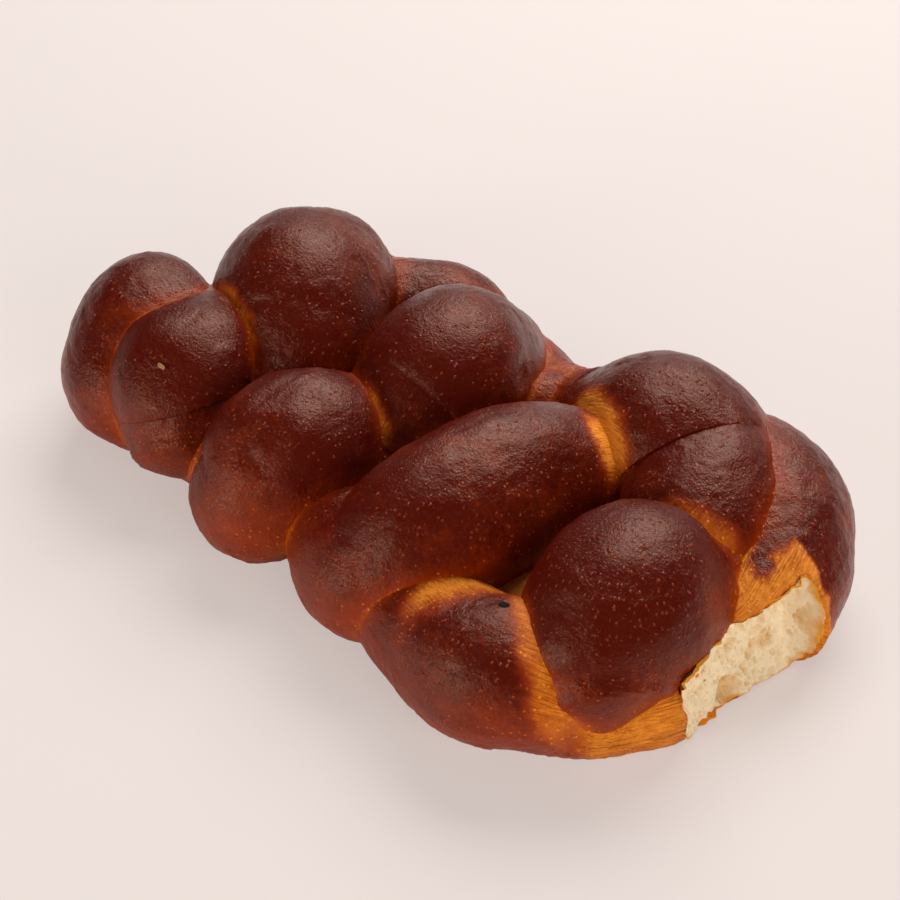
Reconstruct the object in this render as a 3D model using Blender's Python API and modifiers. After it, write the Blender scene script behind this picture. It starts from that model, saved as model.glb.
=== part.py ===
"""Braided loaf: four round strands of dough plaited flat and baked into one body.

Along the loaf is X, with the torn end at +X.  Across it is Y, and the flat base is at Z = 0.
A strand that crosses toward +Y goes over, under, over its neighbours; one that crosses toward
-Y goes under, over, under.  Every strand is a round tube whose centre and radius pass smoothly
through its waypoints.
"""
import math

import bmesh
import bpy
from mathutils import Vector

MM = 0.001

# Driving sizes of the finished loaf.
LOAF_LENGTH = 320 * MM
LOAF_WIDTH = 193 * MM
LOAF_HEIGHT = 80 * MM

# The dough sags this far onto the tray before it sets, which gives the flat base.
BASE_SAG = 3 * MM

# Waypoints of each strand in millimetres: along, across, up, radius.
# "over" waypoints sit high on the loaf, "under" ones run low beneath a neighbour.
STRAND_A = [
    (-72, -72, 14, 28),    # tucked under the next lobe
    (-88, -58, 31, 29),
    (-96, -50, 40, 31),    # over, near side
    (-109, -2, 29, 23),    # under
    (-72, 58, 28, 22),     # over, far side
    (-48, 62, 22, 21),     # round the far edge
    (14, 54, 24, 20),      # under
    (60, 55, 44, 34),      # over, middle
    (84, 50, 40, 33),
    (104, 31, 36, 31),     # under
    (106, 4, 25, 24),      # ends inside the big end
]
STRAND_B = [
    (-131, -17, 29, 23),   # starts inside the small end
    (-130, -42, 38, 31),   # over, the round small end
    (-122, -64, 29, 25),
    (-92, -57, 20, 18),    # under
    (-52, -58, 24, 20),    # round the near edge
    (-35, -66, 27, 28),    # over, near side
    (-32, -47, 41, 31),
    (-33, -13, 25, 23),    # under
    (-28, 18, 24, 20),
    (4, 46, 26, 20),       # far side
    (38, 62, 24, 20),      # round the far edge
    (104, 44, 22, 20),     # under
    (114, 4, 31, 31),      # over, the widest lobe
    (114, -18, 42, 36),
    (120, -37, 37, 33),
    (128, -48, 29, 24),
    (137, -56, 20, 9),     # pinched tip at the big end
]
STRAND_C = [
    (-138, 14, 28, 24),    # starts inside the small end
    (-119, 41, 22, 22),    # round the far edge
    (-41, 55, 27, 23),     # under
    (-22, 24, 45, 33),     # over, middle
    (-21, 2, 38, 31),
    (-19, -24, 26, 24),
    (-14, -40, 18, 18),    # under
    (12, -54, 18, 18),
    (79, -68, 25, 26),     # round the near edge
    (104, -62, 27, 27),    # over, near side
    (122, -46, 15, 18),    # under
    (134, -24, 16, 20),
    (136, -4, 14, 17),     # ends inside the big end
]
STRAND_D = [
    (-104, 48, 29, 27),    # starts inside the small end
    (-98, 13, 46, 36),     # over, middle
    (-82, -6, 39, 33),
    (-61, -33, 22, 22),    # under
    (-18, -46, 20, 20),
    (24, -64, 27, 27),     # round the near edge
    (38, -38, 44, 32),     # over, the longest lobe
    (43, 1, 41, 31),
    (59, 45, 27, 25),      # under
    (97, 67, 32, 30),      # over, far side
    (127, 50, 29, 28),
    (142, 15, 23, 24),     # wraps the big end
    (138, -8, 14, 18),
]
# The middle of the plait, where the four strands have baked together.
CORE_CENTRE = Vector((9, 2, 14)) * MM
CORE_HALF_SIZE = Vector((139, 72, 18)) * MM

# Torn face at the +X end, in millimetres: a dished wall that leans back with height.
TEAR_FOOT = 150.0
TEAR_LEAN = 0.13
TEAR_DISH = 3.5
TEAR_MIDDLE = (6.0, 18.0)
TEAR_HALF = (46.0, 30.0)
TEAR_ROUGHNESS = 1.2
# Edges of the torn patch, each a line (a, b, c) that keeps a * across + b * up below c:
# near side, far side, slanting top, level top, below the base.
TEAR_EDGES = [(-1, 0, 25), (1, 0, 31), (-0.6, 1, 46), (-0.12, 1, 36), (0, -1, 8)]
TEAR_SPOKES = 64

# Fineness of the faceted body.
SAMPLES_PER_SPAN = 8
STRAND_BEVEL_RESOLUTION = 14
TIP_STEPS = 10
VOXEL = 2.6 * MM
SMOOTHING_PASSES = 3
FACET_SHARE = 0.105

CRUST_COLOUR = (0.15, 0.038, 0.012, 1.0)


def clear_scene():
    for item in list(bpy.data.objects):
        bpy.data.objects.remove(item, do_unlink=True)


def new_collection(name):
    collection = bpy.data.collections.new(name)
    bpy.context.scene.collection.children.link(collection)
    return collection


def new_material(name, colour, roughness):
    material = bpy.data.materials.new(name)
    material.use_nodes = True
    shader = material.node_tree.nodes['Principled BSDF']
    shader.inputs['Base Color'].default_value = colour
    shader.inputs['Roughness'].default_value = roughness
    shader.inputs['Metallic'].default_value = 0.0
    return material


def blend(a, b, c, d, t):
    """One coordinate of the Catmull-Rom curve between b and c."""
    return 0.5 * (2 * b + (c - a) * t + (2 * a - 5 * b + 4 * c - d) * t ** 2
                  + (3 * b - a - 3 * c + d) * t ** 3)


def smooth_rows(waypoints):
    """Rows of centre and radius, in metres, along the smooth curve through the waypoints."""
    rows = [[value * MM for value in row] for row in waypoints]
    before = [2 * p - q for p, q in zip(rows[0], rows[1])]
    after = [2 * p - q for p, q in zip(rows[-1], rows[-2])]
    rows = [before] + rows + [after]
    path = []
    for k in range(1, len(rows) - 2):
        for step in range(SAMPLES_PER_SPAN):
            t = step / SAMPLES_PER_SPAN
            path.append([blend(*four, t) for four in zip(*rows[k - 1:k + 3])])
    path.append(rows[-2])
    return path


def row_at(path, runs, place):
    """The row of centre and radius at a distance along the path."""
    for k in range(1, len(path)):
        if runs[k] >= place:
            break
    share = (place - runs[k - 1]) / (runs[k] - runs[k - 1])
    return [a + (b - a) * share for a, b in zip(path[k - 1], path[k])]


def round_tips(path):
    """Draw both ends of the strand in to a round tip within their own radius."""
    runs = [0.0]
    for first, second in zip(path, path[1:]):
        runs.append(runs[-1] + (Vector(second[:3]) - Vector(first[:3])).length)
    length = runs[-1]
    start, end = path[0][3], path[-1][3]
    places = {length - end, start}
    for step in range(1, TIP_STEPS):
        depth = 1.0 - math.cos(math.pi / 2 * step / TIP_STEPS)
        places.update((start * depth, length - end * depth))
    places.update(run for run in runs if start < run < length - end)
    rows = []
    for place in sorted(places):
        row = row_at(path, runs, place)
        reach = min(1.0, place / start, (length - place) / end)
        rows.append(row[:3] + [row[3] * math.sqrt(1.0 - (1.0 - reach) ** 2)])
    return rows


def strand_curve(name, waypoints, collection):
    """A round tube whose bevel follows the radius along the strand."""
    path = round_tips(smooth_rows(waypoints))
    curve = bpy.data.curves.new(name, 'CURVE')
    curve.dimensions = '3D'
    curve.twist_mode = 'Z_UP'
    curve.bevel_depth = MM
    curve.bevel_resolution = STRAND_BEVEL_RESOLUTION
    curve.use_fill_caps = True
    spline = curve.splines.new('POLY')
    spline.points.add(len(path) - 1)
    for point, row in zip(spline.points, path):
        point.co = (row[0], row[1], row[2], 1.0)
        point.radius = row[3] / MM
    item = bpy.data.objects.new(name, curve)
    collection.objects.link(item)
    return item


def add_welded(body, item):
    """Copy a curve's tube into the body with its caps welded on, and drop the curve."""
    graph = bpy.context.evaluated_depsgraph_get()
    mesh = bpy.data.meshes.new_from_object(item.evaluated_get(graph))
    tube = bmesh.new()
    tube.from_mesh(mesh)
    bmesh.ops.remove_doubles(tube, verts=tube.verts, dist=0.01 * MM)
    tube.to_mesh(mesh)
    tube.free()
    body.from_mesh(mesh)
    bpy.data.meshes.remove(mesh)
    bpy.data.objects.remove(item, do_unlink=True)


def add_core(body):
    """A flat cushion of dough under the plait."""
    made = bmesh.ops.create_uvsphere(body, u_segments=48, v_segments=24, radius=1.0)
    for vert in made['verts']:
        x, y, z = vert.co
        squared = (abs(x) ** 3 + abs(y) ** 3) ** (1 / 3) or 1.0
        widen = math.hypot(x, y) / squared
        vert.co = Vector((x * widen * CORE_HALF_SIZE.x, y * widen * CORE_HALF_SIZE.y,
                          z * CORE_HALF_SIZE.z)) + CORE_CENTRE


def dough_mesh(collection):
    """All four strands and the core in one mesh, ready to be fused."""
    strands = {'strand_a': STRAND_A, 'strand_b': STRAND_B, 'strand_c': STRAND_C,
               'strand_d': STRAND_D}
    body = bmesh.new()
    for name, waypoints in strands.items():
        add_welded(body, strand_curve(name, waypoints, collection))
    add_core(body)
    bmesh.ops.recalc_face_normals(body, faces=body.faces)
    mesh = bpy.data.meshes.new('loaf')
    body.to_mesh(mesh)
    body.free()
    return mesh


def new_cutter(name, body, collection, loaf):
    mesh = bpy.data.meshes.new(name)
    body.to_mesh(mesh)
    body.free()
    cutter = bpy.data.objects.new(name, mesh)
    cutter.hide_render = True
    cutter.display_type = 'WIRE'
    cutter.parent = loaf
    collection.objects.link(cutter)
    return cutter


def base_cutter(collection, loaf):
    """A slab whose top face trims the loaf flat."""
    body = bmesh.new()
    bmesh.ops.create_cube(body, size=1.0)
    bmesh.ops.scale(body, verts=body.verts, vec=(0.6, 0.4, 0.1))
    bmesh.ops.translate(body, verts=body.verts, vec=(0.0, 0.0, BASE_SAG - 0.05))
    return new_cutter('base_cutter', body, collection, loaf)


def tear_reach(turn):
    """How far the torn patch reaches from its middle in one direction."""
    across, up = math.cos(turn), math.sin(turn)
    reaches = []
    for a, b, c in TEAR_EDGES:
        slope = a * across + b * up
        if slope > 0:
            reaches.append((c - a * TEAR_MIDDLE[0] - b * TEAR_MIDDLE[1]) / slope)
    return min(reaches)


def tear_depth(y, z):
    """Where the torn wall stands along the loaf."""
    dish = ((y - TEAR_MIDDLE[0]) / TEAR_HALF[0]) ** 2 + ((z - TEAR_MIDDLE[1]) / TEAR_HALF[1]) ** 2
    bump = math.sin(0.21 * y + 0.13 * z) * math.cos(0.17 * z - 1) + 0.6 * math.sin(0.4 * z + 0.3 * y)
    return TEAR_FOOT - TEAR_LEAN * z + TEAR_DISH * (dish - 1) + TEAR_ROUGHNESS * bump


def tear_cutter(collection, loaf):
    """A stepped plug: the uneven wall, a flare out past its rim, and a flat back."""
    body = bmesh.new()
    rings = []
    for share, spread, ahead in ((0.25, 0, 0), (0.5, 0, 0), (0.75, 0, 0), (1, 0, 0), (1, 9, 22),
                                 (1, 9, 60)):
        ring = []
        for k in range(TEAR_SPOKES):
            turn = 2 * math.pi * k / TEAR_SPOKES
            reach = tear_reach(turn) * share + spread
            y = TEAR_MIDDLE[0] + reach * math.cos(turn)
            z = TEAR_MIDDLE[1] + reach * math.sin(turn)
            x = TEAR_FOOT + ahead if ahead > 30 else tear_depth(y, z) + ahead
            ring.append(body.verts.new(Vector((x, y, z)) * MM))
        rings.append(ring)
    for inner, outer in zip(rings, rings[1:]):
        for k in range(TEAR_SPOKES):
            after = (k + 1) % TEAR_SPOKES
            body.faces.new((inner[k], inner[after], outer[after], outer[k]))
    body.faces.new(rings[-1])
    middle = body.verts.new(Vector((tear_depth(*TEAR_MIDDLE), *TEAR_MIDDLE)) * MM)
    for k in range(TEAR_SPOKES):
        body.faces.new((rings[0][k], rings[0][(k + 1) % TEAR_SPOKES], middle))
    bmesh.ops.recalc_face_normals(body, faces=body.faces)
    return new_cutter('tear_cutter', body, collection, loaf)


def subtract(loaf, cutter):
    cut = loaf.modifiers.new(cutter.name, 'BOOLEAN')
    cut.operation = 'DIFFERENCE'
    cut.solver = 'EXACT'
    cut.object = cutter


def fuse_and_thin(loaf):
    """Fuse the overlapping strands, soften the joins and thin out the facets."""
    fuse = loaf.modifiers.new('fuse', 'REMESH')
    fuse.mode = 'VOXEL'
    fuse.voxel_size = VOXEL
    fuse.use_smooth_shade = True
    soften = loaf.modifiers.new('soften', 'SMOOTH')
    soften.factor = 0.5
    soften.iterations = SMOOTHING_PASSES
    thin = loaf.modifiers.new('thin', 'DECIMATE')
    thin.ratio = FACET_SHARE


def seat_and_size(loaf):
    """Size the loaf to its driving sizes, with the middle of its base at the origin."""
    graph = bpy.context.evaluated_depsgraph_get()
    mesh = loaf.evaluated_get(graph).data
    columns = list(zip(*[vert.co for vert in mesh.vertices]))
    low = Vector([min(column) for column in columns])
    high = Vector([max(column) for column in columns])
    wanted = (LOAF_LENGTH, LOAF_WIDTH, LOAF_HEIGHT)
    scale = Vector([size / (b - a) for size, a, b in zip(wanted, low, high)])
    foot = Vector(((low.x + high.x) / 2, (low.y + high.y) / 2, low.z))
    loaf.scale = scale
    loaf.location = -foot * scale


def main():
    clear_scene()
    parts = new_collection('braided_loaf')
    cutters = new_collection('cutters')
    loaf = bpy.data.objects.new('loaf', dough_mesh(parts))
    parts.objects.link(loaf)
    loaf.data.materials.append(new_material('baked_crust', CRUST_COLOUR, 0.5))
    fuse_and_thin(loaf)
    subtract(loaf, base_cutter(cutters, loaf))
    subtract(loaf, tear_cutter(cutters, loaf))
    bpy.context.view_layer.update()
    seat_and_size(loaf)


main()
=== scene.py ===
"""Braided loaf: crust strands, torn crumb, trimmings and a plain studio stage."""
import math

import bmesh
import bpy
import numpy as np
from bpy.props import FloatProperty, FloatVectorProperty, PointerProperty
from mathutils import Matrix, Vector


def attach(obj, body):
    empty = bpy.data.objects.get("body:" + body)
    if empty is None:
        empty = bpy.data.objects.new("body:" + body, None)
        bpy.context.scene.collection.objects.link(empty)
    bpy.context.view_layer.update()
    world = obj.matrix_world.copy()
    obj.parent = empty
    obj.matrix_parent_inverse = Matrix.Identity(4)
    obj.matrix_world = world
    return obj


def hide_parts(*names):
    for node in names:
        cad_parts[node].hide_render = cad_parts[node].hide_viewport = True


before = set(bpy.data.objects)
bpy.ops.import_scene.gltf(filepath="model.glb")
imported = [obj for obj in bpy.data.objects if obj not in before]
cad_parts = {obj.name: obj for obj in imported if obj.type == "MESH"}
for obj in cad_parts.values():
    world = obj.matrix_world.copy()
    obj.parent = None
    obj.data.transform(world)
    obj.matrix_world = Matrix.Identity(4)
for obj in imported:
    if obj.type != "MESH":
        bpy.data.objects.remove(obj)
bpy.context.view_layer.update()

bl_info = {
    "name": "Braided Loaf",
    "version": (1, 0, 0),
    "blender": (4, 5, 0),
    "location": "View3D > Sidebar > Loaf",
    "description": "Makes the crust, crumb and stage of a four-strand braided loaf",
    "category": "Add Mesh",
}

MM = 0.001

# Points round a strand, and the most rings it may have.
STRAND_AROUND = 176
STRAND_RINGS = 550

# Waypoints of each strand in millimetres: along, across, up, radius.
STRANDS = {
    "a": np.array([
        (-72, -72, 14, 28), (-88, -58, 31, 29), (-96, -50, 40, 31), (-109, -2, 29, 23),
        (-72, 58, 28, 22), (-48, 62, 22, 21), (14, 54, 24, 20), (60, 55, 44, 34), (84, 50, 40, 33),
        (104, 31, 36, 31), (106, 4, 25, 24)], float),
    "b": np.array([
        (-131, -17, 29, 23), (-130, -42, 38, 31), (-122, -64, 29, 25), (-92, -57, 20, 18),
        (-52, -58, 24, 20), (-35, -66, 27, 28), (-32, -47, 41, 31), (-33, -13, 25, 23),
        (-28, 18, 24, 20), (4, 46, 26, 20), (38, 62, 24, 20), (104, 44, 22, 20), (114, 4, 31, 31),
        (114, -18, 42, 36), (120, -37, 37, 33), (128, -48, 29, 24), (137, -56, 20, 9)], float),
    "c": np.array([
        (-138, 14, 28, 24), (-119, 41, 22, 22), (-41, 55, 27, 23), (-22, 24, 45, 33),
        (-21, 2, 38, 31), (-19, -24, 26, 24), (-14, -40, 18, 18), (12, -54, 18, 18),
        (79, -68, 25, 26), (104, -62, 27, 27), (122, -46, 15, 18), (134, -24, 16, 20),
        (136, -4, 14, 17)], float),
    "d": np.array([
        (-104, 48, 29, 27), (-98, 13, 46, 36), (-82, -6, 39, 33), (-61, -33, 22, 22),
        (-18, -46, 20, 20), (24, -64, 27, 27), (38, -38, 44, 32), (43, 1, 41, 31),
        (59, 45, 27, 25), (97, 67, 32, 30), (127, 50, 29, 28), (142, 15, 23, 24),
        (138, -8, 14, 18)], float),
}
# Where the waypoints' own frame has the middle of the loaf's base, which becomes the origin.
FOOT = np.array([-0.6, 0.6, 3.0])

# Places where the strands pulled apart in the oven and fresh dough shows beside a crease:
# strand that shows it, strand it lies against, centre, reach, band width, strength.
FRESH_BANDS = [
    ("a", "d", (50, 20, 60), 31, 10.0, 1.0),
    ("d", "a", (59, 9, 61), 24, 8.0, 1.0),
    ("c", "b", (112, -70, 48), 36, 6.5, 0.65),
    ("c", "d", (84, -71, 47), 30, 19.0, 1.0),
    ("a", "b", (-101, -55, 60), 34, 4.0, 0.5),
    ("d", "a", (-90, -24, 58), 22, 5.0, 0.6),
    ("c", "b", (-14, -20, 48), 16, 4.5, 0.7),
    ("a", "b", (114, 16, 58), 20, 6.0, 0.45),
    ("b", "d", (-118, 4, 55), 16, 6.0, 0.7),
    ("c", "b", (146, -44, 14), 27, 26.0, 0.8),
]
# Soft dimples pressed in where the dough turned: centre, radius, depth.
DIMPLES = [
    ((-84, -72, 55), 11, 1.6),
    ((-24, -72, 57), 12, 2.2),
    ((-34, -58, 66), 8, 1.2),
    ((10, 33, 52), 6, 1.6),
]
# Torn face: where its foot stands along the loaf, how it leans and dishes, and its middle
# and half size across and up.
TEAR_FOOT = 150.0
TEAR_LEAN = 0.13
TEAR_DISH = 3.5
TEAR_SIDES = (-25.0, 31.0)
TEAR_MIDDLE = (6.0, 18.0)
TEAR_HALF = (46.0, 30.0)
# Cushion of dough under the plait: its middle and half size along and across.
CORE_MIDDLE = (9.6, 1.8)
CORE_HALF = (139.0, 72.0)
# How far a strand's skin swells where it folds against itself.
FOLD_SWELL = 12.0
# Where the crust's pin blisters lie thickest, in metres.
BLISTERED_LOBE = (0.112, -0.034, 0.05)


# ----------------------------------------------------------------------------- settings

class LoafSizes(bpy.types.PropertyGroup):
    grain: FloatProperty(name="Grain", description="Spacing of the crust's surface points",
                         default=0.00105, min=0.0005, max=0.01, unit='LENGTH')
    lumps: FloatProperty(name="Lumps", description="Height of the slow swells of the dough",
                         default=0.0016, min=0.0, max=0.006, unit='LENGTH')
    wrinkles: FloatProperty(name="Wrinkles", description="Height of the crust's wrinkles",
                            default=0.00022, min=0.0, max=0.002, unit='LENGTH')
    pores: FloatProperty(name="Pores", description="Depth of the crumb's largest pores",
                         default=0.0036, min=0.0, max=0.01, unit='LENGTH')
    ragged: FloatProperty(name="Ragged tear", description="Unevenness of the torn edge",
                          default=0.0022, min=0.0, max=0.01, unit='LENGTH')


class LoafColours(bpy.types.PropertyGroup):
    fresh: FloatVectorProperty(name="Fresh dough", description="Palest baked dough in the creases",
                               default=(0.88, 0.28, 0.020), size=3, min=0, max=1, subtype='COLOR')
    amber: FloatVectorProperty(name="Amber", description="Lightly browned crust",
                               default=(0.55, 0.115, 0.005), size=3, min=0, max=1, subtype='COLOR')
    chestnut: FloatVectorProperty(name="Chestnut", description="Well browned crust",
                                  default=(0.27, 0.026, 0.0016), size=3, min=0, max=1,
                                  subtype='COLOR')
    mahogany: FloatVectorProperty(name="Mahogany", description="Darkest glazed crust",
                                  default=(0.080, 0.0034, 0.0005), size=3, min=0, max=1,
                                  subtype='COLOR')
    crumb: FloatVectorProperty(name="Crumb", description="Torn inside of the loaf",
                               default=(0.95, 0.78, 0.52), size=3, min=0, max=1, subtype='COLOR')
    # Painted shade: the darker, yellower colour laid into the crumb's pores.
    pore_shade: FloatVectorProperty(name="Pore", description="Bottom of the crumb's pores",
                              default=(0.72, 0.42, 0.14), size=3, min=0, max=1, subtype='COLOR')
    backdrop: FloatVectorProperty(name="Backdrop", description="Brightness the floor shows",
                                  default=(0.82, 0.72, 0.68), size=3, min=0, max=1,
                                  subtype='COLOR')
    floor: FloatVectorProperty(name="Floor", description="Matt studio floor",
                               default=(0.86, 0.79, 0.75), size=3, min=0, max=1, subtype='COLOR')


class StageSettings(bpy.types.PropertyGroup):
    back_power: FloatProperty(name="Back softbox", description="Power of the large softbox",
                              default=23.0, min=0.0, unit='POWER')
    front_power: FloatProperty(name="Front lamp", description="Power of the small front softbox",
                               default=5.4, min=0.0, unit='POWER')
    side_power: FloatProperty(name="Side softbox", description="Power of the lamp by the tear",
                              default=11.5, min=0.0, unit='POWER')
    fill: FloatProperty(name="Room", description="Brightness of the room around the stage",
                        default=0.09, min=0.0, max=2.0)
    lens: FloatProperty(name="Lens", description="Focal length on a 36 mm sensor",
                        default=102.0, min=10.0, max=300.0, subtype='DISTANCE_CAMERA')


# --------------------------------------------------------------------------- plain maths

def catmull_rom(rows, per_span):
    """Smooth curve through the rows: on each span a cubic whose slope at a row is half the
    step between that row's two neighbours."""
    rows = np.vstack([2 * rows[0] - rows[1], rows, 2 * rows[-1] - rows[-2]])
    a, b, c, d = rows[:-3, None], rows[1:-2, None], rows[2:-1, None], rows[3:, None]
    t = np.linspace(0, 1, per_span, endpoint=False)[None, :, None]
    curve = 0.5 * (2 * b + (c - a) * t + (2 * a - 5 * b + 4 * c - d) * t ** 2
                   + (3 * b - a - 3 * c + d) * t ** 3)
    return np.vstack([curve.reshape(-1, rows.shape[1]), rows[-2:-1]])


def arc_lengths(points):
    """Running length along a chain of points."""
    return np.concatenate([[0], np.cumsum(np.linalg.norm(np.diff(points, axis=0), axis=1))])


def smoothstep(low, high, x):
    """0 below low, 1 above high, and the cubic 3t^2 - 2t^3 between them."""
    t = np.clip((x - low) / (high - low), 0, 1)
    return t * t * (3 - 2 * t)


def hashed(ix, iy, iz, seed):
    """One repeatable number from 0 to 1 for each lattice cell, from mixed integer products."""
    h = (ix * 73856093) ^ (iy * 19349663) ^ (iz * 83492791) ^ (seed * 2654435761)
    h &= 0xFFFFFFFF
    h = ((h ^ (h >> 15)) * 2246822519) & 0xFFFFFFFF
    h = ((h ^ (h >> 13)) * 3266489917) & 0xFFFFFFFF
    return (h ^ (h >> 16)) / 4294967296.0


def noise(points, size, seed):
    """Smooth value noise from -1 to 1: lattice values of the given cell size, blended across
    each cell by the quintic 6t^5 - 15t^4 + 10t^3."""
    p = points / size
    base = np.floor(p).astype(np.int64)
    t = p - base
    w = t ** 3 * (t * (t * 6 - 15) + 10)
    total = np.zeros(points.shape[:-1])
    for corner in range(8):
        i, j, k = corner & 1, corner >> 1 & 1, corner >> 2 & 1
        part = hashed(base[..., 0] + i, base[..., 1] + j, base[..., 2] + k, seed)
        weight = (np.where(i, w[..., 0], 1 - w[..., 0]) * np.where(j, w[..., 1], 1 - w[..., 1])
                  * np.where(k, w[..., 2], 1 - w[..., 2]))
        total += part * weight
    return total * 2 - 1


def bubbles(points, size, seed, share=1.0):
    """Depth from 0 to 1 of round bubbles: each lattice cell holds one ball at a random place
    with a random radius, and a point's depth is one less its distance over that radius."""
    p = points / size
    base = np.floor(p).astype(np.int64)
    deepest = np.zeros(points.shape[:-1])
    for corner in range(27):
        i, j, k = corner % 3 - 1, corner // 3 % 3 - 1, corner // 9 - 1
        cx, cy, cz = base[..., 0] + i, base[..., 1] + j, base[..., 2] + k
        middle = np.stack([cx + hashed(cx, cy, cz, seed), cy + hashed(cx, cy, cz, seed + 1),
                           cz + hashed(cx, cy, cz, seed + 2)], axis=-1)
        radius = 0.25 + 0.4 * hashed(cx, cy, cz, seed + 3)
        there = hashed(cx, cy, cz, seed + 4) < share
        gap = np.linalg.norm(p - middle, axis=-1)
        deepest = np.maximum(deepest, np.where(there, 1 - gap / radius, 0))
    return deepest


# ---------------------------------------------------------------------- the plait's form

def strand_path(name, step):
    """Centre line and radius of a strand, in millimetres of the loaf's frame, evenly spaced.
    Over the last radius at each end the radius falls as a quarter circle to a round tip."""
    rows = STRANDS[name].copy()
    rows[:, :3] -= FOOT
    curve = catmull_rom(rows, 40)
    run = arc_lengths(curve[:, :3])
    count = min(max(40, int(run[-1] / step)), STRAND_RINGS)
    even = np.linspace(0, 1, count)
    ends = 0.5 - 0.5 * np.cos(np.pi * even)
    place = (0.72 * even + 0.28 * ends) * run[-1]
    curve = np.stack([np.interp(place, run, column) for column in curve.T], axis=1)
    reach = np.minimum(place / curve[0, 3], (run[-1] - place) / curve[-1, 3])
    tip = np.sqrt(1 - (1 - np.clip(reach, 0, 1)) ** 2)
    curve[:, 3] *= np.maximum(tip, 0.004)
    return curve, place


PATHS = {name: strand_path(name, 4.0) for name in STRANDS}


def depth_to(points, name):
    """Distance from points to a strand's surface, negative inside it: the least distance to a
    centre point less the radius there."""
    path = PATHS[name][0]
    flat = points.reshape(-1, 3)
    found = np.empty(len(flat))
    for start in range(0, len(flat), 20000):
        part = flat[start:start + 20000]
        squared = ((part ** 2).sum(1)[:, None] + (path[:, :3] ** 2).sum(1)[None]
                   - 2 * part @ path[:, :3].T)
        found[start:start + 20000] = (np.sqrt(np.maximum(squared, 0)) - path[:, 3]).min(1)
    return found.reshape(points.shape[:-1])


def swells(points, name):
    """Slow lumps of a strand's skin: noise of three sizes, each smaller one lower."""
    sizes, seed = bpy.context.scene.loaf_sizes, ord(name)
    return (sizes.lumps / MM * (noise(points, 38.0, seed) + 0.42 * noise(points, 17.0, seed + 1))
            + 0.28 * noise(points, 8.0, seed + 2))


def self_swell(skin, run, radius, name):
    """Swelling where a strand folds against itself: with k the fold's swell and d the distance
    to the strand's parts more than 1.3 radii along from here, the amount is (k - |d|)^2 / 4k."""
    path, place = PATHS[name]
    swell = np.zeros(skin.shape[:2])
    for start in range(0, len(skin), 60):
        rows = slice(start, start + 60)
        gap = np.linalg.norm(skin[rows, ::4, None] - path[:, :3], axis=-1) - path[:, 3]
        near = np.abs(run[rows, None] - place) < 1.3 * radius[rows, None]
        gap = np.where(near[:, None], 99.0, gap).min(axis=-1)
        lift = np.maximum(FOLD_SWELL - np.abs(gap), 0) ** 2 / (4 * FOLD_SWELL)
        swell[rows] = np.repeat(lift, 4, axis=1)
    return sum(np.roll(swell, k, axis=1) for k in range(-2, 3)) / 5


def settle(points):
    """Flatten what would sink below the tray: z becomes the smooth upper branch of a
    hyperbola, which is z well above the tray and close to zero below it."""
    out = points.copy()
    z = out[..., 2]
    out[..., 2] = 0.5 * (z + np.sqrt(z ** 2 + 3.0 ** 2)) - 0.35 * np.exp(-(z / 6.0) ** 2)
    out[..., 2] = np.maximum(out[..., 2], 0.0)
    return out


def rim_gap(y, z):
    """How far a place lies outside the torn patch, seen along the loaf: the greatest of its
    distances past the patch's two sides and past its slanting top edge, made uneven by
    noise."""
    flat = np.stack([y, z, np.zeros_like(y)], axis=-1)
    top = np.minimum(46.0 + 0.6 * y, 36.0 + 0.12 * y)
    gap = np.maximum(np.maximum(z - top, TEAR_SIDES[0] - y), y - TEAR_SIDES[1])
    return gap + 0.8 * noise(flat, 9.0, 8) + 0.5 * noise(flat, 3.5, 9)


def tear_wall(y, z):
    """Where the torn face stands along the loaf: a dished wall that leans back with height,
    uneven by noise of three sizes, and that runs off past the loaf's end beyond its rim."""
    ragged = bpy.context.scene.loaf_sizes.ragged / MM
    flat = np.stack([y, z, np.zeros_like(y)], axis=-1)
    rough = noise(flat, 15.0, 5) + 0.55 * noise(flat, 7.0, 6) + 0.3 * noise(flat, 3.0, 7)
    dish = TEAR_DISH * (((y - TEAR_MIDDLE[0]) / TEAR_HALF[0]) ** 2
                        + ((z - TEAR_MIDDLE[1]) / TEAR_HALF[1]) ** 2 - 1)
    ends = 22 * smoothstep(0, 9, rim_gap(y, z))
    return TEAR_FOOT - TEAR_LEAN * z + dish + ragged * rough + ends


def bite(points):
    """Press everything beyond the torn wall back onto it, and then up to 6 mm behind it, so
    that only the edge of the crust meets the crumb: along the loaf a point goes to the wall
    less 6 times the smoothstep of how far beyond it was."""
    wall = tear_wall(points[..., 1], points[..., 2])
    over = points[..., 0] - wall
    out = points.copy()
    out[..., 0] = np.where(over > 0, wall - 6 * smoothstep(0, 3, over), points[..., 0])
    return out


# --------------------------------------------------------------------------- mesh making

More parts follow.
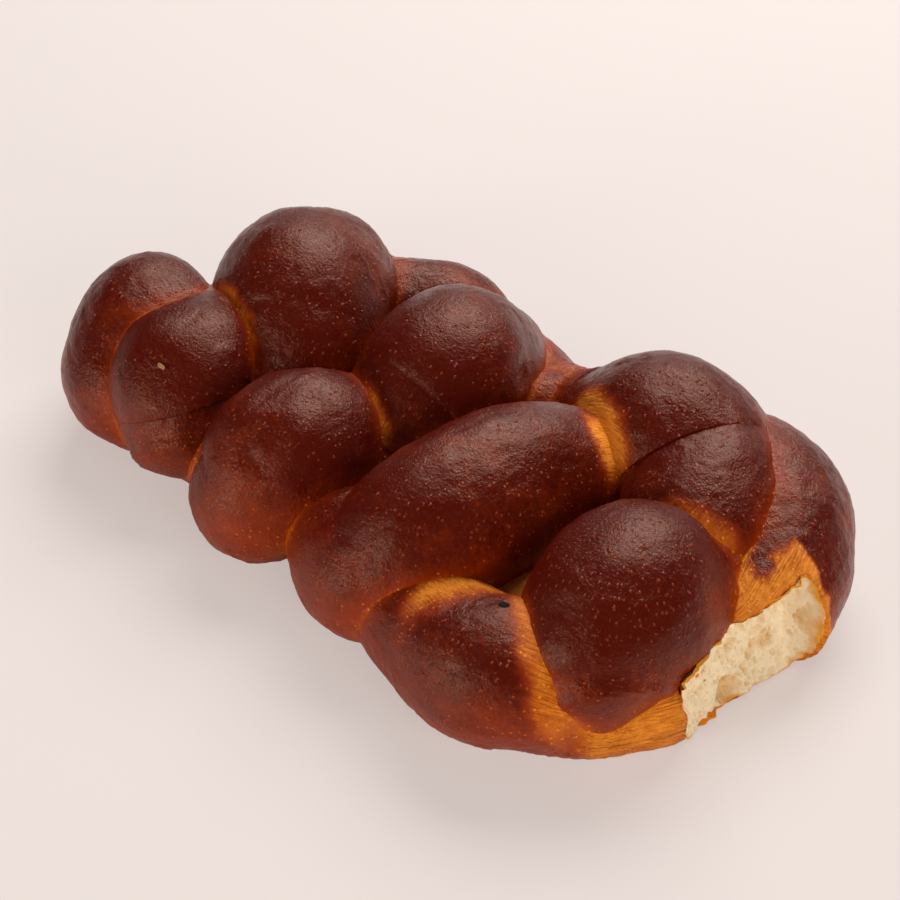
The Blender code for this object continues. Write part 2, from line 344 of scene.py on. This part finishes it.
def grid_mesh(name, points, caps=True, uv=None, marks=None):
    """Mesh from a grid of points whose second axis goes round: quads join neighbours, and with
    caps a single point at each end closes the form. The marks become point attributes."""
    rows, columns = points.shape[:2]
    index = np.arange(rows * columns).reshape(rows, columns)
    right = np.roll(index, -1, axis=1)
    quads = np.stack([index[:-1], right[:-1], right[1:], index[1:]], axis=-1).reshape(-1, 4)
    verts = points.reshape(-1, 3)
    loops = quads.ravel()
    sizes = np.full(len(quads), 4)
    if caps:
        poles = np.stack([points[0].mean(0), points[-1].mean(0)])
        verts = np.vstack([verts, poles])
        south, north = rows * columns, rows * columns + 1
        first = np.stack([np.full(columns, south), right[0], index[0]], axis=-1)
        last = np.stack([np.full(columns, north), index[-1], right[-1]], axis=-1)
        loops = np.concatenate([loops, first.ravel(), last.ravel()])
        sizes = np.concatenate([sizes, np.full(2 * columns, 3)])
    mesh = bpy.data.meshes.new(name)
    mesh.vertices.add(len(verts))
    mesh.vertices.foreach_set("co", (verts * MM).astype(np.float32).ravel())
    mesh.loops.add(len(loops))
    mesh.loops.foreach_set("vertex_index", loops.astype(np.int32))
    mesh.polygons.add(len(sizes))
    mesh.polygons.foreach_set("loop_start", np.concatenate([[0], np.cumsum(sizes)[:-1]])
                              .astype(np.int32))
    mesh.polygons.foreach_set("use_smooth", np.ones(len(sizes), bool))
    mesh.update(calc_edges=True)
    mesh.validate()
    extra = len(verts) - rows * columns
    if uv is not None:
        flat = uv.reshape(-1, 2)
        if extra:
            flat = np.vstack([flat, uv[0].mean(0), uv[-1].mean(0)])
        layer = mesh.uv_layers.new(name="along")
        layer.data.foreach_set("uv", (flat[loops] * MM).astype(np.float32).ravel())
    for key, values in (marks or {}).items():
        flat = values.ravel()
        if extra:
            flat = np.concatenate([flat, [values[0].mean(), values[-1].mean()]])
        mesh.attributes.new(key, 'FLOAT', 'POINT').data.foreach_set(
            "value", flat.astype(np.float32))
    return mesh


def add_piece(name, mesh, material, stands_for_loaf=True):
    """Link a finished mesh at the origin and join it to the loaf's frame."""
    piece = bpy.data.objects.new(name, mesh)
    bpy.context.scene.collection.objects.link(piece)
    mesh.materials.append(material)
    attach(piece, "root")
    if stands_for_loaf:
        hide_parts("loaf")
    return piece


# ------------------------------------------------------------------------------- strands

def strand_form(name):
    """Skin of one strand: a circle carried along the strand's path, swollen along its own
    radius by slow lumps, dimples and wrinkles, then settled on the tray and bitten off."""
    sizes = bpy.context.scene.loaf_sizes
    path, run = strand_path(name, sizes.grain / MM)
    centre, radius = path[:, :3], path[:, 3]
    along = np.gradient(centre, axis=0)
    along /= np.linalg.norm(along, axis=1)[:, None]
    side = np.cross(along, [0.0, 0.0, 1.0])
    side /= np.linalg.norm(side, axis=1)[:, None]
    up = np.cross(side, along)
    turn = np.linspace(0, 2 * np.pi, STRAND_AROUND, endpoint=False)
    out = (np.cos(turn)[None, :, None] * side[:, None]
           + np.sin(turn)[None, :, None] * up[:, None])
    skin = centre[:, None] + radius[:, None, None] * out

    seed = ord(name)
    tip = np.clip(radius / 16.0, 0, 1)[:, None]
    lumps = swells(skin, name)
    warped = skin + 1.6 * np.stack([noise(skin, 9.0, seed + k) for k in (3, 4, 5)], axis=-1)
    folds = 1 - np.abs(noise(warped, 4.6, seed + 6)) * 2
    fine = 1 - np.abs(noise(warped, 2.7, seed + 7)) * 2
    wrinkles = sizes.wrinkles / MM * (folds + 0.6 * fine)
    pressed = np.zeros(skin.shape[:2])
    for middle, reach, deep in DIMPLES:
        far = np.linalg.norm(skin - np.array(middle, float), axis=-1) / reach
        pressed += deep * np.exp(-far ** 2) * (1 - 0.9 * np.cos(far * 5) * np.exp(-far))
    swell = self_swell(skin, run, radius, name)
    skin = skin + ((lumps + wrinkles + swell - pressed) * tip)[..., None] * out

    others = {key: depth_to(skin, key) for key in STRANDS if key != name}
    nearest = np.minimum.reduce(list(others.values()))
    fresh = np.zeros(skin.shape[:2])
    edge = 1.6 * noise(skin, 7.0, seed + 8) + 0.6 * noise(skin, 2.4, seed + 9)
    for shows, against, middle, reach, width, strength in FRESH_BANDS:
        if shows != name:
            continue
        far = np.linalg.norm(skin - np.array(middle, float), axis=-1)
        band = 1 - smoothstep(0.3 * width, 1.25 * width, others[against] + edge)
        fresh = np.maximum(fresh, strength * band * (1 - smoothstep(0.6 * reach, reach, far)))

    height = skin[..., 2]
    facing = out[..., 2]
    bake = (0.67 + 0.20 * smoothstep(12, 62, height) + 0.13 * facing
            + 0.10 * noise(skin, 30.0, seed + 10) + 0.05 * noise(skin, 11.0, seed + 11))
    bake -= 0.34 * np.exp(-np.maximum(nearest, 0) / 2.8) * smoothstep(2, 24, height)
    bake = bake * (1 - fresh)
    skin = settle(skin)
    at_end = skin[..., 0] > 128
    beyond = np.where(at_end, np.maximum(rim_gap(skin[..., 1], skin[..., 2]), 0), 60.0)
    if name == "d":
        band = 1 - smoothstep(7.5, 10.0, beyond + 1.5 * noise(skin, 5.0, 90))
        fresh, bake = np.maximum(fresh, 0.9 * band), bake * (1 - 0.9 * band)
    skin = bite(skin)
    uv = np.broadcast_to(np.stack(np.broadcast_arrays(run[:, None], turn[None] * 28.0), -1),
                         skin.shape[:2] + (2,))
    return skin, uv, {"bake": bake, "fresh": fresh, "crease": nearest, "torn": beyond}


class LOAF_OT_strands(bpy.types.Operator):
    """Make the four glazed strands of crust"""
    bl_idname = "loaf.strands"
    bl_label = "Crust Strands"

    def execute(self, context):
        material = crust_material(context.scene.loaf_colours)
        for name in STRANDS:
            skin, uv, marks = strand_form(name)
            mesh = grid_mesh("strand_" + name, skin, uv=uv, marks=marks)
            add_piece("strand_" + name, mesh, material)
        return {'FINISHED'}


# --------------------------------------------------------------------------------- crumb

def in_dough(points):
    """Depth inside the loaf, negative inside: the least depth to any strand or to the core,
    and never inside below the tray."""
    depth = np.minimum.reduce([depth_to(points, key) - swells(points, key) for key in STRANDS])
    core = np.abs((points - np.array([*CORE_MIDDLE, 11.0])) / np.array([*CORE_HALF, 22.0]))
    inner = (core ** 3).sum(-1) ** (1 / 3) - 1
    return np.maximum(np.minimum(depth, inner * 22.0), 0.7 - points[..., 2])


def crumb_form():
    """Torn face: the torn wall, spoke by spoke from its middle out to where the wall leaves
    the dough, dented by bubbles of four sizes."""
    sizes = bpy.context.scene.loaf_sizes
    spokes, rings = 420, 200
    turn = np.linspace(0, 2 * np.pi, spokes, endpoint=False)
    out = np.linspace(0, 75, 301)

    def on_wall(reach, turn):
        y = TEAR_MIDDLE[0] + reach * np.cos(turn)
        z = TEAR_MIDDLE[1] + reach * np.sin(turn)
        return np.stack([tear_wall(y, z), y, z], axis=-1)

    outside = in_dough(on_wall(*np.meshgrid(out, turn, indexing="ij"))) > 0.0
    outside[-1] = True
    last = out[np.maximum(outside.argmax(axis=0) - 1, 1)]
    widest = np.maximum.reduce([np.roll(last, k) for k in range(-2, 3)])
    smooth = sum(np.roll(widest, k) for k in range(-1, 2)) / 3 + 0.3
    share = np.linspace(0.004, 1, rings)[:, None]
    wall = on_wall(share * smooth[None], np.broadcast_to(turn[None], (rings, spokes)))

    tall = wall * np.array([1.0, 1.0, 0.8])
    pits = (0.75 * smoothstep(0, 0.7, bubbles(tall, 2.8, 11)) + 0.9 *
            smoothstep(0, 0.6, bubbles(tall, 5.5, 21, 0.6)) + 0.4 *
            smoothstep(0, 0.7, bubbles(tall, 1.5, 31)))
    big = smoothstep(0, 0.6, bubbles(tall, 15.0, 43, 0.45))
    slow = noise(wall, 16.0, 51) * 1.1 + noise(wall, 7.0, 52) * 0.5
    rim = smooth[None] * (1 - share)
    edge = smoothstep(0.0, 4.0, rim)
    deep = sizes.pores / MM / 3.6 * (1.6 * pits + 1.9 * big) * edge
    lift = 1.0 - deep + slow * edge - 4.0 * (1 - smoothstep(0.0, 1.3, rim))
    face = wall.copy()
    face[..., 0] += lift
    face[..., 2] = np.maximum(face[..., 2], 0.4)
    # Painted shade for the pores: how deep in a bubble a point lies, which darkens the crumb's
    # colour there.
    marks = {"pit_shade": np.clip(pits * 0.5 + big * 0.7, 0, 1) * edge, "rim": rim}
    return face, marks


class LOAF_OT_crumb(bpy.types.Operator):
    """Make the torn crumb at the big end and the dough between the strands"""
    bl_idname = "loaf.crumb"
    bl_label = "Torn Crumb"

    def execute(self, context):
        colours = context.scene.loaf_colours
        face, marks = crumb_form()
        mesh = grid_mesh("crumb", face, caps=False, marks=marks)
        close_middle(mesh, face)
        add_piece("crumb", mesh, crumb_material(colours))
        skin, marks = core_form()
        mesh = grid_mesh("dough_core", skin, marks=marks)
        add_piece("dough_core", mesh, crust_material(colours))
        return {'FINISHED'}


def close_middle(mesh, face):
    """Fill the pinhole in the middle of the torn face with one many-sided face."""
    work = bmesh.new()
    work.from_mesh(mesh)
    work.verts.ensure_lookup_table()
    ring = [work.verts[k] for k in range(face.shape[1])]
    work.faces.new(ring[::-1]).smooth = True
    work.to_mesh(mesh)
    work.free()


def core_form():
    """Dough under the plait: a cushion whose outline is a cubed superellipse, settled and
    bitten like the strands."""
    height = np.linspace(-np.pi / 2, np.pi / 2, 70)[1:-1, None]
    turn = np.linspace(0, 2 * np.pi, 240, endpoint=False)[None]
    x, y = np.cos(turn), np.sin(turn)
    widen = 1 / (np.abs(x) ** 3 + np.abs(y) ** 3) ** (1 / 3)
    ring = np.cos(height) ** 0.8
    skin = np.stack([CORE_MIDDLE[0] + CORE_HALF[0] * x * widen * ring,
                     CORE_MIDDLE[1] + CORE_HALF[1] * y * widen * ring,
                     np.broadcast_to(12.5 + 20.0 * np.sin(height), (68, 240))], axis=-1)
    skin[..., 2] += 1.2 * noise(skin, 12.0, 61) * (skin[..., 2] > 12)
    skin[..., 2] = np.maximum(skin[..., 2], 0.5)
    wall = tear_wall(skin[..., 1], skin[..., 2])
    skin[..., 0] = np.minimum(skin[..., 0], wall - 3.5)
    bake = 0.12 + 0.1 * noise(skin, 9.0, 62)
    return skin, {"bake": bake, "fresh": 1 - bake, "crease": np.full(bake.shape, 20.0),
                  "torn": np.full(bake.shape, 60.0)}


# ------------------------------------------------------------------------------- materials

class Nodes:
    """Short hand for building one material's nodes."""

    def __init__(self, name):
        self.material = bpy.data.materials.new(name)
        self.material.use_nodes = True
        self.tree = self.material.node_tree
        self.shader = self.tree.nodes["Principled BSDF"]
        self.place = self.add("ShaderNodeTexCoord").outputs["Object"]

    def add(self, kind, **settings):
        node = self.tree.nodes.new(kind)
        for key, value in settings.items():
            setattr(node, key, value)
        return node

    def join(self, source, target):
        if isinstance(source, (int, float)):
            target.default_value = source
        else:
            self.tree.links.new(source, target)

    def attribute(self, name):
        return self.add("ShaderNodeAttribute", attribute_name=name).outputs["Fac"]

    def maths(self, kind, a, b=0.0, clamp=False):
        node = self.add("ShaderNodeMath", operation=kind, use_clamp=clamp)
        self.join(a, node.inputs[0])
        self.join(b, node.inputs[1])
        return node.outputs[0]

    def spread(self, value, low, high, out_low=0.0, out_high=1.0):
        node = self.add("ShaderNodeMapRange", clamp=True)
        self.join(value, node.inputs["Value"])
        for key, number in (("From Min", low), ("From Max", high), ("To Min", out_low),
                            ("To Max", out_high)):
            node.inputs[key].default_value = number
        return node.outputs["Result"]

    def mix(self, share, first, second):
        node = self.add("ShaderNodeMix", data_type='RGBA')
        self.join(share, node.inputs["Factor"])
        for source, slot in ((first, 6), (second, 7)):
            if isinstance(source, tuple):
                node.inputs[slot].default_value = source
            else:
                self.tree.links.new(source, node.inputs[slot])
        return node.outputs[2]

    def noise(self, size, detail=2.0, rough=0.5, distort=0.0, where=None):
        node = self.add("ShaderNodeTexNoise")
        self.join(where or self.place, node.inputs["Vector"])
        node.inputs["Scale"].default_value = 1.0 / size
        node.inputs["Detail"].default_value = detail
        node.inputs["Roughness"].default_value = rough
        node.inputs["Distortion"].default_value = distort
        return node.outputs["Fac"]

    def stretched(self, coordinates, scale):
        node = self.add("ShaderNodeMapping")
        self.tree.links.new(coordinates, node.inputs["Vector"])
        node.inputs["Scale"].default_value = scale
        return node.outputs["Vector"]

    def ramp(self, value, stops):
        node = self.add("ShaderNodeValToRGB")
        self.tree.links.new(value, node.inputs["Fac"])
        ramp = node.color_ramp
        while len(ramp.elements) < len(stops):
            ramp.elements.new(0.5)
        for element, (place, colour) in zip(ramp.elements, stops):
            element.position = place
            element.color = tuple(colour) + (1.0,)
        return node.outputs["Color"]

    def bump(self, height, distance, strength=1.0, under=None):
        node = self.add("ShaderNodeBump")
        self.join(height, node.inputs["Height"])
        node.inputs["Distance"].default_value = distance
        node.inputs["Strength"].default_value = strength
        if under is not None:
            self.tree.links.new(under, node.inputs["Normal"])
        return node.outputs["Normal"]


def crust_material(colours):
    """Glazed crust: bake level picks a colour from fresh dough to mahogany, with mottling,
    pale pin blisters, fine wrinkles and stretched fibres where fresh dough shows."""
    found = bpy.data.materials.get("glazed_crust")
    if found:
        return found
    n = Nodes("glazed_crust")
    bake = n.attribute("bake")
    fresh = n.attribute("fresh")
    torn = n.attribute("torn")

    mottle = n.maths('SUBTRACT', n.noise(0.011, 4.0, 0.62), 0.5)
    speckle = n.maths('SUBTRACT', n.noise(0.0016, 3.0, 0.6), 0.5)
    level = n.maths('ADD', bake, n.maths('MULTIPLY', mottle, 0.42))
    level = n.maths('ADD', level, n.maths('MULTIPLY', speckle, 0.30))

    along = n.add("ShaderNodeUVMap", uv_map="along").outputs["UV"]
    fibre = n.noise(1.0, 3.0, 0.6, 0.6, n.stretched(along, (170.0, 1100.0, 1.0)))
    fibres = n.maths('MULTIPLY', n.maths('SUBTRACT', fibre, 0.5), n.spread(fresh, 0.15, 0.7))
    level = n.maths('ADD', level, n.maths('MULTIPLY', fibres, 0.95))

    edge = n.spread(torn, 0.0, 2.6, 1.0, 0.0)
    level = n.maths('SUBTRACT', level, n.maths('MULTIPLY', edge, 0.75))

    cells = n.add("ShaderNodeTexVoronoi", feature='F1')
    n.join(n.place, cells.inputs["Vector"])
    cells.inputs["Scale"].default_value = 460.0
    blister = n.spread(cells.outputs["Distance"], 0.10, 0.32, 1.0, 0.0)
    pick = n.add("ShaderNodeSeparateColor")
    n.join(cells.outputs["Color"], pick.inputs[0])
    away = n.add("ShaderNodeVectorMath", operation='DISTANCE')
    n.join(n.place, away.inputs[0])
    away.inputs[1].default_value = BLISTERED_LOBE
    dense = n.spread(away.outputs["Value"], 0.018, 0.075, 0.42, 0.0)
    patchy = n.maths('MULTIPLY', n.maths('SUBTRACT', n.noise(0.02, 2.0), 0.5), 0.5)
    chance = n.maths('ADD', n.maths('ADD', pick.outputs[0], dense), patchy)
    blister = n.maths('MULTIPLY', blister, n.spread(chance, 0.58, 0.66))
    level = n.maths('SUBTRACT', level, n.maths('MULTIPLY', blister, 0.42), clamp=True)

    colour = n.ramp(level, [(0.0, colours.fresh), (0.26, colours.amber),
                            (0.56, colours.chestnut), (0.95, colours.mahogany)])
    n.tree.links.new(colour, n.shader.inputs["Base Color"])

    gloss = n.spread(n.noise(0.006, 3.0), 0.3, 0.7, 0.26, 0.38)
    rough = n.maths('ADD', gloss, n.maths('MULTIPLY', fresh, 0.22), clamp=True)
    n.tree.links.new(rough, n.shader.inputs["Roughness"])
    n.shader.inputs["IOR"].default_value = 1.45
    n.shader.inputs["Specular IOR Level"].default_value = 0.52
    n.shader.inputs["Specular Tint"].default_value = (1.0, 0.56, 0.38, 1.0)

    creases = n.noise(0.0034, 4.0, 0.6, 1.1)
    normal = n.bump(creases, 0.0008, 0.5)
    normal = n.bump(n.noise(0.0012, 3.0, 0.65, 0.4), 0.0005, 0.7, normal)
    normal = n.bump(blister, 0.0004, 0.8, normal)
    normal = n.bump(fibres, 0.0012, 0.9, normal)
    n.tree.links.new(normal, n.shader.inputs["Normal"])
    return n.material


def crumb_material(colours):
    """Soft crumb: cream with painted shade, darker and yellower, in the pores, and golden where it
    meets the crust.
    """
    n = Nodes("torn_crumb")
    pit_shade = n.attribute("pit_shade")
    rim = n.attribute("rim")
    # Painted shade: the deeper a point lies in a pore, the more of the darker pore colour shows;
    # noise adds random tone.
    tint = n.maths('ADD', pit_shade, n.maths('MULTIPLY', n.maths(
        'SUBTRACT', n.noise(0.003, 4.0, 0.7), 0.5), 0.7), clamp=True)
    inside = n.mix(tint, tuple(colours.crumb) + (1.0,), tuple(colours.pore_shade) + (1.0,))
    uneven = n.maths('ADD', rim, n.maths('MULTIPLY', n.maths(
        'SUBTRACT', n.noise(0.005, 2.0), 0.5), 2.4))
    near = n.spread(uneven, 1.0, 2.4, 1.0, 0.0)
    colour = n.mix(near, inside, (0.80, 0.33, 0.035, 1.0))
    n.tree.links.new(colour, n.shader.inputs["Base Color"])
    n.shader.inputs["Roughness"].default_value = 0.82
    n.shader.inputs["Specular IOR Level"].default_value = 0.25
    normal = n.bump(n.noise(0.0016, 5.0, 0.7, 0.5), 0.0009, 0.6)
    n.tree.links.new(normal, n.shader.inputs["Normal"])
    return n.material


def plain_material(name, colour, roughness):
    """Matt stuff, mottled between its colour and a darker one."""
    n = Nodes(name)
    darker = tuple(value * 0.6 for value in colour)
    tint = n.mix(n.noise(0.0012, 4.0, 0.6), tuple(colour) + (1.0,), darker + (1.0,))
    n.tree.links.new(tint, n.shader.inputs["Base Color"])
    n.shader.inputs["Roughness"].default_value = roughness
    n.shader.inputs["Specular IOR Level"].default_value = 0.2
    normal = n.bump(n.noise(0.0007, 3.0, 0.6), 0.0003, 0.6)
    n.tree.links.new(normal, n.shader.inputs["Normal"])
    return n.material


# ---------------------------------------------------------------------------- trimmings

def pebble(centre, half_size, seed, rough):
    """Uneven pebble: a sphere whose radius swells with noise, stretched to its half sizes
    along the three axes."""
    rings, around = 14, 20
    lat = np.linspace(-np.pi / 2, np.pi / 2, rings + 2)[1:-1, None]
    lon = np.linspace(0, 2 * np.pi, around, endpoint=False)[None]
    ball = np.stack([np.cos(lat) * np.cos(lon), np.cos(lat) * np.sin(lon),
                     np.broadcast_to(np.sin(lat), (rings, around))], axis=-1)
    ball = ball * (1 + rough * noise(ball + seed * 3.1, 0.7, seed))[..., None]
    return np.array(centre, float) + ball * np.array(half_size, float)


def lip_form():
    """Thin bottom crust under the torn face: a flattened round section carried along the
    wall's foot, its reach outward varied by noise into ragged teeth."""
    left, right = -22, 33
    across = np.linspace(left, right, 420)
    foot = np.stack([tear_wall(across, np.full(420, 2.0)), across, np.zeros(420)], axis=-1)
    foot[:, 0] = np.minimum(foot[:, 0], TEAR_FOOT) - 1.5
    reach = 1.8 + 1.2 * noise(foot, 9.0, 71) + 1.3 * noise(foot, 3.2, 72)
    reach += 2.0 * np.exp(-((across + 15) / 2.6) ** 2) + 1.6 * np.exp(-((across + 9) / 2.4) ** 2)
    reach *= smoothstep(left, left + 6, across) * smoothstep(right, right - 7, across)
    turn = np.linspace(0, 2 * np.pi, 16, endpoint=False)[None]
    width = np.maximum(reach, 0.2)[:, None] + 2.0
    x = foot[:, :1] - 2.0 + width * np.cos(turn)
    z = 0.75 + 0.7 * np.sin(turn) + 0.5 * (1 + noise(foot, 5.0, 73))[:, None] * (np.cos(turn) > 0)
    y = np.broadcast_to(across[:, None], x.shape)
    skin = np.stack([x, y, np.maximum(z, 0.05)], axis=-1)
    bake = np.full(x.shape, 0.08)
    return skin[::-1], {"bake": bake, "fresh": 0.8 - bake, "crease": bake + 20, "torn": bake + 60}


class LOAF_OT_trimmings(bpy.types.Operator):
    """Add the near-black speck, the pale flake and the ragged flakes at the tear"""
    bl_idname = "loaf.trimmings"
    bl_label = "Specks and Flakes"

    def execute(self, context):
        skin, marks = lip_form()
        mesh = grid_mesh("bottom_lip", skin, marks=marks)
        add_piece("bottom_lip", mesh, crust_material(context.scene.loaf_colours))
        # A near-black matt pebble set on the crust.
        near_black = plain_material("dark_speck", (0.010, 0.005, 0.003), 0.8)
        mesh = grid_mesh("dark_speck", pebble((93.5, -60.5, 51.0), (2.6, 1.7, 1.5), 3, 0.5))
        add_piece("dark_speck", mesh, near_black, False)
        pale = plain_material("pale_flake", (0.42, 0.20, 0.085), 0.6)
        mesh = grid_mesh("pale_flake", pebble((-84.5, -72.5, 60.2), (1.9, 0.9, 0.9), 5, 0.25))
        add_piece("pale_flake", mesh, pale, False)
        return {'FINISHED'}


# ----------------------------------------------------------------------------------- stage

def softbox(name, place, target, size, power, colour):
    """Rectangular lamp turned to face a point."""
    lamp = bpy.data.lights.new(name, 'AREA')
    lamp.shape = 'RECTANGLE'
    lamp.size, lamp.size_y = size
    lamp.energy = power
    lamp.color = colour
    item = bpy.data.objects.new(name, lamp)
    item.location = place
    item.rotation_euler = (Vector(target) - Vector(place)).to_track_quat('-Z', 'Y').to_euler()
    bpy.context.scene.collection.objects.link(item)
    return item


def room_light(fill):
    """Faint warm room, half as strong in reflections, that looks pale to the camera itself."""
    world = bpy.data.worlds.new("room")
    world.use_nodes = True
    nodes, links = world.node_tree.nodes, world.node_tree.links
    room = nodes["Background"]
    room.inputs["Color"].default_value = (1, 0.97, 0.95, 1)
    path = nodes.new("ShaderNodeLightPath")
    dim = nodes.new("ShaderNodeMapRange")
    dim.inputs["To Min"].default_value = fill
    dim.inputs["To Max"].default_value = fill * 0.5
    links.new(path.outputs["Is Glossy Ray"], dim.inputs["Value"])
    shown = nodes.new("ShaderNodeMath")
    shown.operation = 'MULTIPLY'
    shown.inputs[1].default_value = 0.78
    links.new(path.outputs["Is Camera Ray"], shown.inputs[0])
    stronger = nodes.new("ShaderNodeMath")
    stronger.operation = 'MAXIMUM'
    links.new(dim.outputs[0], stronger.inputs[0])
    links.new(shown.outputs[0], stronger.inputs[1])
    links.new(stronger.outputs[0], room.inputs["Strength"])
    return world


def studio_camera(lens):
    """Camera on a sphere round its target, level, with its three axes set as a matrix."""
    azimuth, elevation, distance = math.radians(47), math.radians(41), 0.99
    target = Vector((0.0006, -0.0002, 0.0288))
    back = Vector((math.sin(azimuth) * math.cos(elevation),
                   -math.cos(azimuth) * math.cos(elevation), math.sin(elevation)))
    right = Vector((math.cos(azimuth), math.sin(azimuth), 0))
    camera = bpy.data.cameras.new("camera")
    camera.lens = lens
    camera.sensor_width = 36.0
    camera.clip_start = 0.05
    item = bpy.data.objects.new("camera", camera)
    item.matrix_world = Matrix.Translation(target + back * distance) @ Matrix(
        (right, back.cross(right), back)).transposed().to_4x4()
    bpy.context.scene.collection.objects.link(item)
    return item


class LOAF_OT_stage(bpy.types.Operator):
    """Set up the floor, lamps, room and camera"""
    bl_idname = "loaf.stage"
    bl_label = "Studio Stage"

    def execute(self, context):
        scene = context.scene
        settings = scene.loaf_stage
        floor = bpy.data.meshes.new("floor")
        floor.from_pydata([(-4, -4, 0), (4, -4, 0), (4, 4, 0), (-4, 4, 0)], [], [(0, 1, 2, 3)])
        floor_item = bpy.data.objects.new("floor", floor)
        floor_item.location.z = -0.0002
        scene.collection.objects.link(floor_item)
        n = Nodes("matt_floor")
        n.shader.inputs["Base Color"].default_value = tuple(scene.loaf_colours.floor) + (1.0,)
        n.shader.inputs["Roughness"].default_value = 0.9
        n.shader.inputs["Specular IOR Level"].default_value = 0.1
        seen = n.add("ShaderNodeLightPath").outputs["Is Camera Ray"]
        glow = n.add("ShaderNodeEmission")
        glow.inputs["Color"].default_value = tuple(scene.loaf_colours.backdrop) + (1.0,)
        blend = n.add("ShaderNodeMixShader")
        n.join(n.maths('MULTIPLY', seen, 0.55), blend.inputs["Fac"])
        n.tree.links.new(n.shader.outputs[0], blend.inputs[1])
        n.tree.links.new(glow.outputs[0], blend.inputs[2])
        n.tree.links.new(blend.outputs[0], n.tree.nodes["Material Output"].inputs["Surface"])
        floor.materials.append(n.material)

        softbox("back_softbox", (-0.42, 0.85, 1.05), (0, 0, 0.03), (1.2, 0.9),
                settings.back_power, (1.0, 0.98, 0.97))
        softbox("front_softbox", (-0.15, -1.1, 0.30), (0, 0, 0.04), (0.34, 0.30),
                settings.front_power, (1.0, 0.97, 0.94))

        side = softbox("side_softbox", (1.35, -0.35, 0.6), (0, 0, 0.03), (0.9, 0.9),
                       settings.side_power, (1.0, 0.97, 0.94))
        side.visible_glossy = False

        scene.world = room_light(settings.fill)
        scene.view_settings.view_transform = 'Standard'

        scene.camera = studio_camera(settings.lens)
        return {'FINISHED'}


class LOAF_PT_panel(bpy.types.Panel):
    bl_idname = "LOAF_PT_panel"
    bl_label = "Braided Loaf"
    bl_space_type = 'VIEW_3D'
    bl_region_type = 'UI'
    bl_category = "Loaf"

    def draw(self, context):
        layout = self.layout
        for operator in (LOAF_OT_strands, LOAF_OT_crumb, LOAF_OT_trimmings, LOAF_OT_stage):
            layout.operator(operator.bl_idname)
        for group, settings in (("Sizes", context.scene.loaf_sizes),
                                ("Colours", context.scene.loaf_colours),
                                ("Stage", context.scene.loaf_stage)):
            box = layout.box()
            box.label(text=group)
            for key in settings.__class__.__annotations__:
                box.prop(settings, key)


CLASSES = (LoafSizes, LoafColours, StageSettings, LOAF_OT_strands, LOAF_OT_crumb,
           LOAF_OT_trimmings, LOAF_OT_stage, LOAF_PT_panel)


def register():
    for item in CLASSES:
        bpy.utils.register_class(item)
    bpy.types.Scene.loaf_sizes = PointerProperty(type=LoafSizes)
    bpy.types.Scene.loaf_colours = PointerProperty(type=LoafColours)
    bpy.types.Scene.loaf_stage = PointerProperty(type=StageSettings)


def unregister():
    del bpy.types.Scene.loaf_stage
    del bpy.types.Scene.loaf_colours
    del bpy.types.Scene.loaf_sizes
    for item in reversed(CLASSES):
        bpy.utils.unregister_class(item)


def main():
    register()
    bpy.ops.loaf.strands()
    bpy.ops.loaf.crumb()
    bpy.ops.loaf.trimmings()
    bpy.ops.loaf.stage()


if __name__ == "__main__":
    main()
